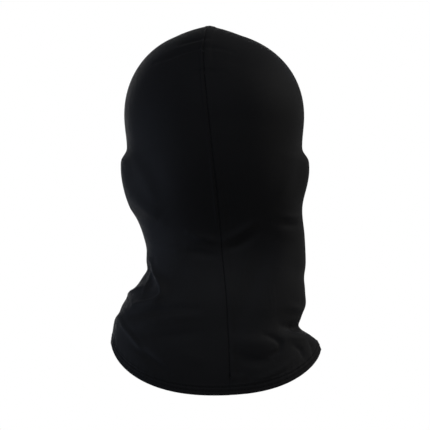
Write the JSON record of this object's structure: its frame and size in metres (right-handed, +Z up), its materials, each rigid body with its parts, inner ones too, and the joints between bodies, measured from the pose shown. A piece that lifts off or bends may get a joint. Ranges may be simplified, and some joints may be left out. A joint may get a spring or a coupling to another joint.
{
  "type": "balaclava",
  "caption": "Close-fitting stretch-knit head and neck cover with an eye opening, centre seams and a flared, stitched neck hem.",
  "frame": {"origin": "the crown of the wearer's head, where the inside of the hood rests on it", "axes": "+Z up, -Y the way the face looks, +X towards the wearer's left; the stored pose is worn, stretched over a head"},
  "size_m": [0.1844, 0.2064, 0.322],
  "materials": {
    "knit": "fine matt stretch jersey",
    "binding": "folded self-fabric tape",
    "thread": "spun polyester thread",
    "elastic": "flat braided elastic",
    "label": "blank satin ribbon"
  },
  "bodies": {
    "hood": {"left_panel": "knit", "right_panel": "knit", "face_opening_binding": "binding", "face_opening_elastic": "elastic", "crown_seam_overlock_thread": "thread", "chin_seam_overlock_thread": "thread", "face_binding_needle_thread": "thread", "face_binding_looper_thread": "thread", "neck_hem_upper_needle_thread": "thread", "neck_hem_lower_needle_thread": "thread", "neck_hem_looper_thread": "thread"},
    "label": {"care_label": "label"}
  },
  "joints": [
    {"name": "care_label_flap", "type": "hinge", "parent": "hood", "child": "label", "pos_m": [-0.01799, 0.06995, -0.27289], "axis": [0.0477, -0.2105, 0.9764], "range_deg": [0, 150], "stiffness_Nm_per_rad": 0.0002}
  ]
}
